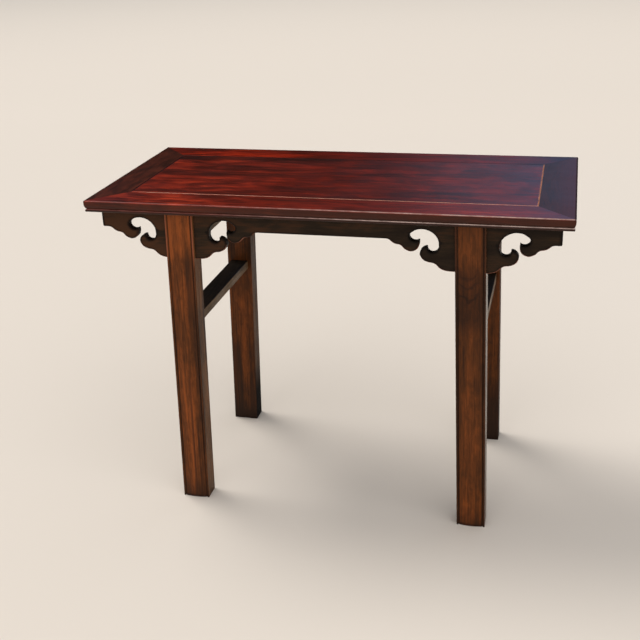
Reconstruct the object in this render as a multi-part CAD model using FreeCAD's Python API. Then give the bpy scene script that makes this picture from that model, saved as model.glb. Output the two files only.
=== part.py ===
# Altar table with recessed, splayed legs and pierced cloud spandrels.
# Lengths are millimetres. The origin is on the floor under the middle of the top,
# +X runs along the top, -Y is the front and +Z is up.

import FreeCAD, Part
import math
import os

Vector = FreeCAD.Vector

# Overall sizes
table_length = 1140.0
table_depth = 545.0
table_height = 818.0

# Top frame and its moulded edge
frame_thickness = 28.0
long_rail_width = 90.0
end_rail_width = 84.0
edge_arris_radius = 2.5
edge_fascia_height = 9.0
edge_setback = 5.0
edge_quirk = 1.2
edge_bead_radius = 3.5
joint_ease = 0.6

# Mitre tenons at the frame's corners
mitre_tenon_thickness = 9.0
mitre_tenon_width = 30.0
mitre_tenon_lift = 5.0
mitre_tenon_setback = 37.0
mitre_tenon_cover = 12.0

# Floating panel and its tongue
panel_thickness = 15.0
panel_gap = 0.3
tongue_drop = 5.0
tongue_thickness = 6.0
tongue_length = 7.0
groove_relief = 1.0

# Battens under the panel
batten_count = 3
batten_width = 34.0
batten_dovetail_height = 3.5
batten_dovetail_flare = 2.0
batten_tenon_length = 12.0
batten_tenon_thickness = 8.0
batten_tenon_shoulder = 4.0

# Legs
leg_width = 70.0
leg_depth = 50.0
leg_splay = 20.0
leg_setback = 26.0
leg_offset = 3.0
leg_ease = 1.2
corner_bead_radius = 2.2
corner_bead_drop = 1.6
corner_flute_width = 3.3
corner_flute_depth = 0.8
face_crown = 3.0
cheek_thickness = 10.0
head_tenon_width = 40.0
head_tenon_height = 16.0
head_tenon_thickness = 6.0
rear_tenon_thickness = 11.0

# Aprons and cloud spandrels
apron_thickness = 17.0
apron_drop = 45.5
end_overhang = 26.0
wing_tail = 14.0
wing_tip_radius = 3.5
cloud_reach = 150.0
cloud_drop = 118.0
cloud_core_width = 78.0
cloud_edge_bevel = 2.0
cloud_tongue_length = 100.0
cloud_tongue_height = 7.0
cloud_tongue_thickness = 6.0

# Side stretchers
stretcher_width = 50.0
stretcher_thickness = 24.0
stretcher_ease = 1.5
stretcher_tenon_width = 30.0
stretcher_tenon_thickness = 12.0
upper_stretcher_drop = 71.0
lower_stretcher_drop = 277.0
upper_tenon_length = 17.0
lower_tenon_length = 32.0

# Fits and cutting allowance
joint_clearance = 0.15
overrun = 20.0

# A turn under this share of a radian counts as straight
straight_share = 0.003

# Half of the pierced cloud: points on its outline, as shares of its reach out from the core
# and of its drop below the frame. Each outline starts at the joint of spandrel and apron and
# runs round the hole to the tip of a scroll, which is a sharp corner, and then down the scroll.
cloud_joint_shares = (0.193, 0.425)
upper_hole_shares = (
    (0.235, 0.296),
    (0.324, 0.206),
    (0.443, 0.169),
    (0.551, 0.199),
    (0.637, 0.330),
    (0.577, 0.413),
    (0.487, 0.389),
)
upper_scroll_shares = (
    (0.484, 0.458),
    (0.502, 0.545),
    (0.607, 0.625),
    (0.700, 0.590),
    (0.775, 0.506),
    (0.850, 0.484),
)
lower_hole_shares = (
    (0.194, 0.534),
    (0.249, 0.623),
    (0.333, 0.616),
    (0.363, 0.520),
)
lower_scroll_shares = (
    (0.431, 0.548),
    (0.476, 0.637),
    (0.437, 0.771),
    (0.350, 0.828),
    (0.280, 0.842),
    (0.128, 0.974),
)

# Levels and faces worked out from the sizes above
frame_bottom = table_height - frame_thickness
half_length = table_length / 2
half_depth = table_depth / 2
panel_half_length = half_length - end_rail_width
panel_half_depth = half_depth - long_rail_width
panel_bottom = table_height - panel_thickness
tongue_top = table_height - tongue_drop
tongue_bottom = tongue_top - tongue_thickness
groove_depth = tongue_length + groove_relief
leg_face = half_depth - leg_setback
leg_back = leg_face - leg_depth
apron_face = leg_face - cheek_thickness
apron_back = apron_face - apron_thickness
apron_middle = (apron_face + apron_back) / 2
wing_end = half_length - end_overhang
cloud_axis = wing_end - wing_tail - cloud_reach - cloud_core_width / 2
leg_head = cloud_axis + leg_offset
slot_bottom = frame_bottom - cloud_drop
cloud_joint_level = frame_bottom - cloud_joint_shares[1] * cloud_drop
upper_stretcher_level = frame_bottom - upper_stretcher_drop - stretcher_thickness
lower_stretcher_level = frame_bottom - lower_stretcher_drop - stretcher_thickness


def box(x_low, x_high, y_low, y_high, z_low, z_high):
    size = (x_high - x_low, y_high - y_low, z_high - z_low)
    return Part.makeBox(*size, Vector(x_low, y_low, z_low))


def prism(corners, travel):
    wire = Part.makePolygon(list(corners) + [corners[0]])
    return Part.Face(wire).extrude(travel)


def line(start, end):
    return Part.makeLine(start, end)


def arc(start, middle, end):
    return Part.Arc(start, middle, end).toShape()


def filled(edges):
    return Part.Face(Part.Wire(Part.__sortEdges__(edges)))


def mirrored_x(shape):
    return shape.mirror(Vector(0, 0, 0), Vector(1, 0, 0))


def mirrored_y(shape):
    return shape.mirror(Vector(0, 0, 0), Vector(0, 1, 0))


# How far in from both faces the middle of a rounded corner lies.
def corner_inset(radius):
    return radius * (1 - math.sin(math.pi / 4))


# Section of a frame rail. The point (inset, level) is measured in from the table's edge
# and up from the frame's underside, and place() puts it in space.
def rail_section(rail_width, place):
    bead_top = 2 * edge_bead_radius
    ovolo_run = edge_setback - edge_quirk
    ovolo_top = frame_thickness - edge_fascia_height
    ovolo_fall = ovolo_top - bead_top - edge_quirk
    ovolo_radius = (ovolo_run ** 2 + ovolo_fall ** 2) / (2 * ovolo_run)
    half_turn = math.asin(ovolo_fall / ovolo_radius) / 2
    arris_middle = corner_inset(edge_arris_radius)
    groove_top = frame_thickness - tongue_drop + 2 * joint_clearance
    groove_bottom = frame_thickness - tongue_drop - tongue_thickness
    moulding = [
        arc(
            place(edge_arris_radius, frame_thickness),
            place(arris_middle, frame_thickness - arris_middle),
            place(0, frame_thickness - edge_arris_radius),
        ),
        line(place(0, frame_thickness - edge_arris_radius), place(0, ovolo_top)),
        arc(
            place(0, ovolo_top),
            place(
                ovolo_radius * (1 - math.cos(half_turn)),
                ovolo_top - ovolo_radius * math.sin(half_turn),
            ),
            place(ovolo_run, bead_top + edge_quirk),
        ),
        line(place(ovolo_run, bead_top + edge_quirk), place(edge_setback, bead_top)),
        arc(
            place(edge_setback, bead_top),
            place(edge_setback - edge_bead_radius, edge_bead_radius),
            place(edge_setback, 0),
        ),
    ]
    inside = [
        place(edge_setback, 0),
        place(rail_width, 0),
        place(rail_width, groove_bottom),
        place(rail_width - groove_depth, groove_bottom),
        place(rail_width - groove_depth, groove_top),
        place(rail_width, groove_top),
        place(rail_width, frame_thickness - joint_ease),
        place(rail_width - joint_ease, frame_thickness),
        place(edge_arris_radius, frame_thickness),
    ]
    return filled(moulding + Part.makePolygon(inside).Edges)


# The wood past the mitre at the frame's front right corner, on the long rail's end
# or, with side -1, on the end rail's.
def mitre_waste(side):
    outer = Vector(half_length, -half_depth, frame_bottom)
    inner = Vector(panel_half_length, -panel_half_depth, frame_bottom)
    heading = (outer - inner).normalize()
    beyond = heading * overrun - Vector(0, 0, overrun)
    before = heading * -overrun - Vector(0, 0, overrun)
    away = Vector(-heading.y, heading.x, 0) * side * (long_rail_width + end_rail_width)
    corners = [outer + beyond, inner + before, inner + before + away, outer + beyond + away]
    return prism(corners, Vector(0, 0, frame_thickness + 2 * overrun))


def mitre_tenon(clearance):
    middle = -half_depth + mitre_tenon_setback + mitre_tenon_width / 2
    half_width = mitre_tenon_width / 2 + clearance
    low = frame_bottom + mitre_tenon_lift - clearance
    return box(
        panel_half_length,
        half_length - mitre_tenon_cover + clearance,
        middle - half_width,
        middle + half_width,
        low,
        low + mitre_tenon_thickness + 2 * clearance,
    )


def batten_places():
    pitch = 2 * panel_half_length / (batten_count + 1)
    return [pitch * (i + 1) - panel_half_length for i in range(batten_count)]


def batten_tenon(clearance):
    low = frame_bottom + (panel_bottom - frame_bottom - batten_tenon_thickness) / 2
    half_width = batten_width / 2 - batten_tenon_shoulder + clearance
    reach = panel_half_depth + batten_tenon_length + clearance
    return box(
        -half_width,
        half_width,
        -reach,
        reach,
        low - clearance,
        low + batten_tenon_thickness + clearance,
    )


# The two tenons on a leg's head, for the front right leg: one on the thin cheek
# in front of the apron and one on the thick cheek behind it.
def head_tenons(clearance):
    half_width = head_tenon_width / 2 + clearance
    front_root = -apron_face - joint_clearance
    rear_root = -apron_back + joint_clearance
    tops = []
    for near, far in (
        (front_root - head_tenon_thickness - clearance, front_root + clearance),
        (rear_root - clearance, rear_root + rear_tenon_thickness + clearance),
    ):
        tops.append(
            box(
                leg_head - half_width,
                leg_head + half_width,
                near,
                far,
                frame_bottom,
                frame_bottom + head_tenon_height + clearance,
            )
        )
    return tops[0].fuse(tops[1])


def build_long_rail():
    def place(inset, level):
        return Vector(-half_length, -half_depth + inset, frame_bottom + level)

    rail = rail_section(long_rail_width, place).extrude(Vector(table_length, 0, 0))
    waste = mitre_waste(1)
    rail = rail.cut(waste).cut(mirrored_x(waste))
    tenon = mitre_tenon(0)
    rail = rail.fuse([tenon, mirrored_x(tenon)])
    mortises = head_tenons(joint_clearance)
    rail = rail.cut(mortises).cut(mirrored_x(mortises))
    for x in batten_places():
        rail = rail.cut(batten_tenon(joint_clearance).translate(Vector(x, 0, 0)))
    return rail.removeSplitter()


def build_end_rail():
    def place(inset, level):
        return Vector(half_length - inset, -half_depth, frame_bottom + level)

    rail = rail_section(end_rail_width, place).extrude(Vector(0, table_depth, 0))
    waste = mitre_waste(-1)
    mortise = mitre_tenon(joint_clearance)
    for cutter in (waste, mirrored_y(waste), mortise, mirrored_y(mortise)):
        rail = rail.cut(cutter)
    return rail.removeSplitter()


def dovetail(x, half_run, clearance):
    neck = batten_width / 2 - batten_dovetail_flare + clearance
    flare = batten_width / 2 + clearance
    top = panel_bottom + batten_dovetail_height + clearance
    corners = [
        Vector(x - neck, -half_run, panel_bottom),
        Vector(x + neck, -half_run, panel_bottom),
        Vector(x + flare, -half_run, top),
        Vector(x - flare, -half_run, top),
    ]
    return prism(corners, Vector(0, 2 * half_run, 0))


def build_panel():
    half_x = panel_half_length - panel_gap
    half_y = panel_half_depth - panel_gap
    field = box(-half_x, half_x, -half_y, half_y, panel_bottom, table_height)
    rim = [e for e in field.Edges if min(v.Z for v in e.Vertexes) > panel_bottom]
    field = field.makeChamfer(joint_ease, rim)
    tongue_x = panel_half_length + tongue_length
    tongue_y = panel_half_depth + tongue_length
    tongue = box(-tongue_x, tongue_x, -tongue_y, tongue_y, tongue_bottom, tongue_top)
    panel = field.fuse(tongue)
    for x in batten_places():
        panel = panel.cut(dovetail(x, half_depth, joint_clearance))
    return panel.removeSplitter()


def build_batten(x):
    half_width = batten_width / 2
    bar = box(-half_width, half_width, -panel_half_depth, panel_half_depth, frame_bottom, panel_bottom)
    bar = bar.fuse(batten_tenon(0)).translate(Vector(x, 0, 0))
    bar = bar.fuse(dovetail(x, panel_half_depth - groove_relief, 0))
    return bar.removeSplitter()


# Plan of the front right leg at its head: a crowned face between two corner beads,
# each parted from it by a flute, and plain sides and back with eased corners.
def leg_section():
    def place(across, depth):
        return Vector(leg_head + across, -leg_face + depth, frame_bottom)

    half_width = leg_width / 2
    bead_foot = corner_bead_drop + corner_bead_radius
    bead_middle = half_width - corner_bead_radius
    bead_inner = half_width - 2 * corner_bead_radius
    face_edge = bead_inner - corner_flute_width
    flute_middle = (bead_inner + face_edge) / 2
    flute_bottom = bead_foot + corner_flute_depth
    edges = []
    for side in (-1, 1):
        edges.append(
            arc(
                place(side * half_width, bead_foot),
                place(side * bead_middle, corner_bead_drop),
                place(side * bead_inner, bead_foot),
            )
        )
        edges.append(
            arc(
                place(side * bead_inner, bead_foot),
                place(side * flute_middle, flute_bottom),
                place(side * face_edge, face_crown),
            )
        )
    edges.append(arc(place(-face_edge, face_crown), place(0, 0), place(face_edge, face_crown)))
    back = [
        place(-half_width, bead_foot),
        place(-half_width, leg_depth - leg_ease),
        place(leg_ease - half_width, leg_depth),
        place(half_width - leg_ease, leg_depth),
        place(half_width, leg_depth - leg_ease),
        place(half_width, bead_foot),
    ]
    return filled(edges + Part.makePolygon(back).Edges)


def leg_middle(level):
    return leg_head + leg_splay * (frame_bottom - level) / frame_bottom


def build_leg():
    leg = leg_section().extrude(Vector(leg_splay, 0, -frame_bottom))
    slot = box(
        leg_head - leg_width,
        leg_head + leg_width,
        -apron_face - joint_clearance,
        -apron_back + joint_clearance,
        slot_bottom,
        frame_bottom + overrun,
    )
    leg = leg.cut(slot).fuse(head_tenons(0))
    for level, length in (
        (upper_stretcher_level, upper_tenon_length),
        (lower_stretcher_level, lower_tenon_length),
    ):
        leg = leg.cut(stretcher_tenon(level, length, joint_clearance))
    return leg.removeSplitter()


def stretcher_tenon(level, length, clearance):
    middle = leg_middle(level + stretcher_thickness / 2)
    half_width = stretcher_tenon_width / 2 + clearance
    low = level + (stretcher_thickness - stretcher_tenon_thickness) / 2 - clearance
    reach = leg_back + length + clearance
    return box(
        middle - half_width,
        middle + half_width,
        -reach,
        reach,
        low,
        low + stretcher_tenon_thickness + 2 * clearance,
    )


def build_stretcher(level, length):
    middle = leg_middle(level + stretcher_thickness / 2)
    half_width = stretcher_width / 2
    bar = box(
        middle - half_width,
        middle + half_width,
        -leg_back,
        leg_back,
        level,
        level + stretcher_thickness,
    )
    long_edges = [e for e in bar.Edges if e.Length > stretcher_width + stretcher_thickness]
    bar = bar.makeChamfer(stretcher_ease, long_edges)
    return bar.fuse(stretcher_tenon(level, length, 0)).removeSplitter()


# A point of the cloud on the apron's face: across is measured out from the core's edge
# and down from the frame, both on the given side of the axis at x.
def cloud_point(x, side, across, down):
    return Vector(x + side * (cloud_core_width / 2 + across), -apron_face, frame_bottom - down)


# The heading at the middle one of three points, along the circle through them.
def heading_between(before, here, after):
    back = here - before
    on = after - here
    return (back * (on.Length / back.Length) + on * (back.Length / on.Length)).normalize()


# Heading at the far end of an arc that leaves start with the given heading.
def heading_past(start, heading, end):
    chord = (end - start).normalize()
    return chord * (2 * heading.dot(chord)) - heading


def tangent_arc(start, heading, end):
    chord = end - start
    across = heading - chord * (heading.dot(chord) / chord.dot(chord))
    if across.Length < straight_share:
        return line(start, end)
    half_turn = heading.getAngle(chord)
    rise = chord.Length / 2 * math.tan(half_turn / 2)
    return arc(start, (start + end) / 2 + across.normalize() * rise, end)


# Two arcs that leave start and reach end with the given headings and meet in one heading.
def arc_pair(start, heading, end, end_heading):
    chord = end - start
    total = heading + end_heading
    spare = 2 * (1 - heading.dot(end_heading))
    pull = chord.dot(total)
    if spare < straight_share ** 2:
        arm = chord.dot(chord) / (4 * chord.dot(end_heading))
    else:
        arm = (math.sqrt(pull ** 2 + spare * chord.dot(chord)) - pull) / spare
    meeting = (start + heading * arm + end - end_heading * arm) / 2
    first = tangent_arc(start, heading, meeting)
    second = tangent_arc(meeting, heading_past(start, heading, meeting), end)
    return [first, second]


# Arcs through the points, without a kink between them. An end without a heading of its own
# takes the one that a single arc gives it.
def smooth_run(points, first_heading, last_heading):
    headings = [first_heading]
    for before, here, after in zip(points, points[1:], points[2:]):
        headings.append(heading_between(before, here, after))
    headings.append(last_heading)
    edges = []
    for start, end, leaving, arriving in zip(points, points[1:], headings, headings[1:]):
        if arriving is None:
            edges.append(tangent_arc(start, leaving, end))
        elif leaving is None:
            edges.append(tangent_arc(end, arriving * -1, start))
        else:
            edges += arc_pair(start, leaving, end, arriving)
    return edges


# The outline from the joint round the hole to the scroll's tip, and from there to its end.
def cloud_curve(x, side, hole_shares, scroll_shares, end_across, end_down, end_heading):
    def placed(shares):
        return [cloud_point(x, side, s * cloud_reach, d * cloud_drop) for s, d in shares]

    hole = placed((cloud_joint_shares,) + hole_shares)
    scroll = hole[-1:] + placed(scroll_shares) + [cloud_point(x, side, end_across, end_down)]
    first_heading = Vector(0, 0, 1 if hole[1].z > hole[0].z else -1)
    return smooth_run(hole, first_heading, None) + smooth_run(scroll, None, end_heading)


# The board with a bevel on its front edges, apart from those where it meets other wood.
def bevelled_front(shape, meets_wood):
    front = []
    for edge in shape.Edges:
        on_face = all(abs(v.Y + apron_face) < joint_clearance for v in edge.Vertexes)
        if on_face and not meets_wood(edge):
            front.append(edge)
    return shape.makeChamfer(cloud_edge_bevel, front)


def is_level(edge, level):
    return all(abs(z - level) < joint_clearance for z in (edge.BoundBox.ZMin, edge.BoundBox.ZMax))


def cloud_tongue(x, clearance):
    half_run = cloud_tongue_length / 2 + clearance
    half_thickness = cloud_tongue_thickness / 2 + clearance
    return box(
        x - half_run,
        x + half_run,
        -apron_middle - half_thickness,
        -apron_middle + half_thickness,
        cloud_joint_level,
        cloud_joint_level + cloud_tongue_height + clearance,
    )


# The wood past the mitre at the front apron's right end.
def apron_mitre_waste():
    corners = [
        Vector(wing_end + overrun, -apron_face - overrun, slot_bottom),
        Vector(wing_end + overrun, -apron_back + overrun, slot_bottom),
        Vector(wing_end - apron_thickness - overrun, -apron_back + overrun, slot_bottom),
    ]
    return prism(corners, Vector(0, 0, cloud_drop + overrun))


def build_apron():
    edges = []
    joint = cloud_joint_shares[0] * cloud_reach
    joint_down = frame_bottom - cloud_joint_level
    for x in (-cloud_axis, cloud_axis):
        for side in (-1, 1):
            edges += cloud_curve(
                x,
                side,
                upper_hole_shares,
                upper_scroll_shares,
                cloud_reach,
                apron_drop,
                Vector(side, 0, 0),
            )
        edges.append(
            line(cloud_point(x, -1, joint, joint_down), cloud_point(x, 1, joint, joint_down))
        )
    edges.append(
        line(
            cloud_point(-cloud_axis, 1, cloud_reach, apron_drop),
            cloud_point(cloud_axis, -1, cloud_reach, apron_drop),
        )
    )
    tip_end = cloud_reach + wing_tail
    tip_start = tip_end - wing_tip_radius
    tip_inset = corner_inset(wing_tip_radius)
    for side in (-1, 1):
        x = side * cloud_axis
        edges.append(
            line(
                cloud_point(x, side, cloud_reach, apron_drop),
                cloud_point(x, side, tip_start, apron_drop),
            )
        )
        edges.append(
            arc(
                cloud_point(x, side, tip_start, apron_drop),
                cloud_point(x, side, tip_end - tip_inset, apron_drop - tip_inset),
                cloud_point(x, side, tip_end, apron_drop - wing_tip_radius),
            )
        )
        edges.append(
            line(
                cloud_point(x, side, tip_end, apron_drop - wing_tip_radius),
                cloud_point(x, side, tip_end, 0),
            )
        )
    edges.append(
        line(
            cloud_point(-cloud_axis, -1, tip_end, 0),
            cloud_point(cloud_axis, 1, tip_end, 0),
        )
    )
    apron = filled(edges).extrude(Vector(0, apron_thickness, 0))
    apron = bevelled_front(
        apron,
        lambda e: is_level(e, frame_bottom) or is_level(e, cloud_joint_level),
    )
    waste = apron_mitre_waste()
    apron = apron.cut(waste).cut(mirrored_x(waste))
    for x in (-cloud_axis, cloud_axis):
        apron = apron.cut(cloud_tongue(x, joint_clearance))
    return apron.removeSplitter()


def build_spandrel():
    edges = []
    joint = cloud_joint_shares[0] * cloud_reach
    joint_down = frame_bottom - cloud_joint_level
    for side in (-1, 1):
        edges += cloud_curve(
            cloud_axis,
            side,
            lower_hole_shares,
            lower_scroll_shares,
            0,
            cloud_drop,
            Vector(-side, 0, 0),
        )
    for level, reach in ((joint_down, joint), (cloud_drop, 0)):
        edges.append(
            line(
                cloud_point(cloud_axis, -1, reach, level),
                cloud_point(cloud_axis, 1, reach, level),
            )
        )
    spandrel = filled(edges).extrude(Vector(0, apron_thickness, 0))
    spandrel = bevelled_front(
        spandrel,
        lambda e: is_level(e, cloud_joint_level) or is_level(e, slot_bottom),
    )
    return spandrel.fuse(cloud_tongue(cloud_axis, 0)).removeSplitter()


def build_end_apron():
    corner = corner_inset(wing_tip_radius)
    bottom = frame_bottom - apron_drop

    def place(inset, level):
        return Vector(wing_end - inset, -apron_face, level)

    edges = Part.makePolygon(
        [
            place(wing_tip_radius, bottom),
            place(apron_thickness, bottom),
            place(apron_thickness, frame_bottom),
            place(0, frame_bottom),
            place(0, bottom + wing_tip_radius),
        ]
    ).Edges
    edges.append(
        arc(
            place(0, bottom + wing_tip_radius),
            place(corner, bottom + corner),
            place(wing_tip_radius, bottom),
        )
    )
    board = filled(edges).extrude(Vector(0, 2 * apron_face, 0))
    inner_face = wing_end - apron_thickness
    for _ in ("front", "rear"):
        board = bevelled_front(
            board,
            lambda e: is_level(e, frame_bottom) or e.BoundBox.XMax < inner_face + joint_clearance,
        )
        board = mirrored_y(board)
    keep = [
        Vector(wing_end + overrun, -apron_face - overrun, slot_bottom),
        Vector(wing_end + overrun, apron_face + overrun, slot_bottom),
        Vector(wing_end - apron_thickness - overrun, apron_back - overrun, slot_bottom),
        Vector(wing_end - apron_thickness - overrun, -apron_back + overrun, slot_bottom),
    ]
    return board.common(prism(keep, Vector(0, 0, cloud_drop + overrun)))


def save(name, shape):
    solids = shape.Solids
    if not shape.isValid() or len(solids) != 1:
        raise ValueError(name + " isn't one valid solid")
    solids[0].exportStep("parts/" + name + ".step")
    print(name, round(solids[0].Volume), "cubic mm,", len(solids[0].Faces), "faces")


def save_four(name, shape):
    save(name + "_front_right", shape)
    save(name + "_front_left", mirrored_x(shape))
    save(name + "_rear_right", mirrored_y(shape))
    save(name + "_rear_left", mirrored_x(mirrored_y(shape)))


def build_table():
    os.makedirs("parts", exist_ok=True)
    long_rail = build_long_rail()
    save("front_rail", long_rail)
    save("rear_rail", mirrored_y(long_rail))
    end_rail = build_end_rail()
    save("right_end_rail", end_rail)
    save("left_end_rail", mirrored_x(end_rail))
    save("top_panel", build_panel())
    for number, x in enumerate(batten_places(), 1):
        save("batten_" + str(number), build_batten(x))
    save_four("leg", build_leg())
    apron = build_apron()
    save("front_apron", apron)
    save("rear_apron", mirrored_y(apron))
    end_apron = build_end_apron()
    save("right_end_apron", end_apron)
    save("left_end_apron", mirrored_x(end_apron))
    save_four("spandrel", build_spandrel())
    for name, level, length in (
        ("upper_stretcher", upper_stretcher_level, upper_tenon_length),
        ("lower_stretcher", lower_stretcher_level, lower_tenon_length),
    ):
        stretcher = build_stretcher(level, length)
        save(name + "_right", stretcher)
        save(name + "_left", mirrored_x(stretcher))


build_table()
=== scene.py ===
# Looks of the altar table: worn red lacquer on top, oiled legs and dark pierced aprons.
# Lengths are metres in the table's own axes: +X along the top, -Y is the front, +Z up.

import math

import bpy
from mathutils import Matrix, Vector


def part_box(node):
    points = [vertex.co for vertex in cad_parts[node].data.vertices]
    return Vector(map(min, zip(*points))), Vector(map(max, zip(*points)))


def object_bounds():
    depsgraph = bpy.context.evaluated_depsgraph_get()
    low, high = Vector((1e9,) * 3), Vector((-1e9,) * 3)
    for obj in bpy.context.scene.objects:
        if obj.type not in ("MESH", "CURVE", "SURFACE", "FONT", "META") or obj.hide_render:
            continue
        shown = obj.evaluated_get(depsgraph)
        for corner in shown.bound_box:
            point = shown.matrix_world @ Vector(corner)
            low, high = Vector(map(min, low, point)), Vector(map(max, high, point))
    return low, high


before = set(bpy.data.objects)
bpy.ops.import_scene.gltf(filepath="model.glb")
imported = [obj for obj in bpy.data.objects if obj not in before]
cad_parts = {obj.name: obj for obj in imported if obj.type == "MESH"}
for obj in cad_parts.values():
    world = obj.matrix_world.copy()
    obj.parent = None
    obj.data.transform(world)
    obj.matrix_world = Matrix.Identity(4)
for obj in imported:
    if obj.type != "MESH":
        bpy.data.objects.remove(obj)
cadLow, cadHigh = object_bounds()
print("loaded the table:", len(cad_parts), "pieces")

# Places on the table, read from its pieces
topLevel = cadHigh.z
frontEdge = cadLow.y
rightEdge = cadHigh.x
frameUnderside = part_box("front_rail")[0].z
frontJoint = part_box("front_rail")[1].y
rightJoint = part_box("right_end_rail")[0].x
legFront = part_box("leg_front_right")[0].y


# An sRGB colour of 0 to 255 as the linear colour that a shader takes
def paint(red, green, blue):
    shares = [c / 255 for c in (red, green, blue)]
    linear = [s / 12.92 if s <= 0.04045 else ((s + 0.055) / 1.055) ** 2.4 for s in shares]
    return tuple(linear) + (1.0,)


# One shader node with its settings. Each of its inputs is a plain value or a socket to link.
def addNode(tree, kind, inputs=None, **settings):
    node = tree.nodes.new("ShaderNode" + kind)
    for name, value in settings.items():
        setattr(node, name, value)
    for name, value in (inputs or {}).items():
        if isinstance(value, bpy.types.NodeSocket):
            tree.links.new(value, node.inputs[name])
        else:
            node.inputs[name].default_value = value
    return node


# One step of arithmetic on one or two values
def calc(tree, operation, first, second=0.0):
    return addNode(tree, "Math", {0: first, 1: second}, operation=operation).outputs[0]


# The first value plus the second
def plus(tree, first, second):
    return calc(tree, "ADD", first, second)


# The first value less the second
def minus(tree, first, second):
    return calc(tree, "SUBTRACT", first, second)


# All the values multiplied together
def times(tree, product, *factors):
    for factor in factors:
        product = calc(tree, "MULTIPLY", product, factor)
    return product


# A value without its sign
def magnitude(tree, value):
    return calc(tree, "ABSOLUTE", value)


# 0 at start and 1 at end, with a smooth step between them
def fade(tree, value, start, end):
    inputs = {"Value": value, "From Min": start, "From Max": end}
    return addNode(tree, "MapRange", inputs, interpolation_type="SMOOTHSTEP").outputs[0]


# From low at start to high at end, in a straight line
def grade(tree, value, start, end, low, high):
    inputs = {"Value": value, "From Min": start, "From Max": end, "To Min": low, "To Max": high}
    return addNode(tree, "MapRange", inputs).outputs[0]


# 1 within half of width either side of middle, fading out over soft
def stripe(tree, value, middle, width, soft):
    off = magnitude(tree, minus(tree, value, middle))
    return fade(tree, off, width / 2 + soft, width / 2)


# The first colour, with a share of the second laid over it
def mixColours(tree, share, first, second):
    return addNode(tree, "Mix", {0: share, 6: first, 7: second}, data_type="RGBA").outputs[2]


# A colour ramp through (share, colour) stops
def ramp(tree, value, stops):
    node = addNode(tree, "ValToRGB", {"Fac": value})
    elements = node.color_ramp.elements
    while len(elements) < len(stops):
        elements.new(0.5)
    for element, (share, colour) in zip(elements, stops):
        element.position = share
        element.color = colour
    return node.outputs["Color"]


# The place on the table, its three coordinates and the way that the surface faces
def surfaceOf(tree):
    place = addNode(tree, "TexCoord").outputs["Object"]
    facing = addNode(tree, "NewGeometry").outputs["Normal"]
    apart = addNode(tree, "SeparateXYZ", {"Vector": place}).outputs
    turned = addNode(tree, "SeparateXYZ", {"Vector": facing}).outputs
    return {
        "place": place, "x": apart["X"], "y": apart["Y"], "z": apart["Z"],
        "facing": facing, "faceX": turned["X"], "faceY": turned["Y"], "faceZ": turned["Z"],
    }


# What noise is like unless a finish says otherwise. A shift moves it by these shares along
# the three axes, so that each piece shows its own part of it.
noiseLook = {"shiftShares": (1.0, 1.7, 2.3), "detail": 3.0, "roughness": 0.6, "spread": 0.17}


# Noise drawn out along the grain: its features are about length long along the named axis
# and width wide across it, and wave bends them. The result is spread to fill 0 to 1.
def streaks(tree, place, along, length, width, shift, wave, look=noiseLook):
    scale = [1 / width] * 3
    scale["XYZ".index(along)] = 1 / length
    moved = [share * shift for share in look["shiftShares"]]
    drawn = addNode(tree, "Mapping", {"Vector": place, "Location": moved, "Scale": scale}).outputs[0]
    inputs = {
        "Vector": drawn,
        "Scale": 1.0,
        "Detail": look["detail"],
        "Roughness": look["roughness"],
        "Distortion": wave,
    }
    raw = addNode(tree, "TexNoise", inputs).outputs["Fac"]
    return fade(tree, raw, 0.5 - look["spread"], 0.5 + look["spread"])


# Even, cloudy noise with a size of its own, and a shift of its own on top of the piece's
def clouds(tree, place, noise, shift):
    size = noise["size"]
    return streaks(tree, place, "X", size, size, shift + noise["shift"], 0.0, {**noiseLook, **noise})


# How long the bends of the grain are, how far the streaks and the hair lines are shifted from
# the broad bands, and the share of the bands' wave that the streaks have
grainLook = {"bend": 0.25, "streakShift": 3.1, "hairShift": 6.4, "streakWave": 0.6}


# Three sizes of grain and their weighted sum: broad bands, streaks and hair lines, each with
# a length and a width. The whole pattern first wanders to the side by a slow noise, as the
# lines in a board do.
def woodTone(tree, place, along, shift, look):
    inputs = {"Vector": place, "Location": (shift, 0.0, 0.0), "Scale": [1 / grainLook["bend"]] * 3}
    slow = addNode(tree, "Mapping", inputs).outputs[0]
    sway = addNode(tree, "TexNoise", {"Vector": slow, "Scale": 1.0, "Detail": 1.0}).outputs["Color"]
    inputs = {0: sway, 1: (0.5, 0.5, 0.5)}
    sway = addNode(tree, "VectorMath", inputs, operation="SUBTRACT").outputs[0]
    inputs = {0: sway, "Scale": 2 * look["wander"]}
    sway = addNode(tree, "VectorMath", inputs, operation="SCALE").outputs[0]
    place = addNode(tree, "VectorMath", {0: place, 1: sway}, operation="ADD").outputs[0]
    sizes, weights = look["grain"], look["grain"]["weights"]
    broad = streaks(tree, place, along, *sizes["broad"], shift, sizes["wave"])
    wave = grainLook["streakWave"] * sizes["wave"]
    streak = streaks(tree, place, along, *sizes["streak"], shift + grainLook["streakShift"], wave)
    hair = streaks(tree, place, along, *sizes["hair"], shift + grainLook["hairShift"], 0.0)
    tone = plus(tree, times(tree, broad, weights[0]), times(tree, streak, weights[1]))
    tone = plus(tree, tone, times(tree, hair, weights[2]))
    return tone, streak, hair


# Thin dark lines where the hair grain is at its lowest, most of them in the dark streaks
hairLineLook = {"streakShare": 0.35, "lowest": (0.42, 0.14), "colour": paint(18, 10, 7)}


def darkLines(tree, colour, streak, hair, share):
    depth = plus(tree, hair, times(tree, streak, hairLineLook["streakShare"]))
    lowest = fade(tree, depth, *hairLineLook["lowest"])
    return mixColours(tree, times(tree, lowest, share), colour, hairLineLook["colour"])


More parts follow.
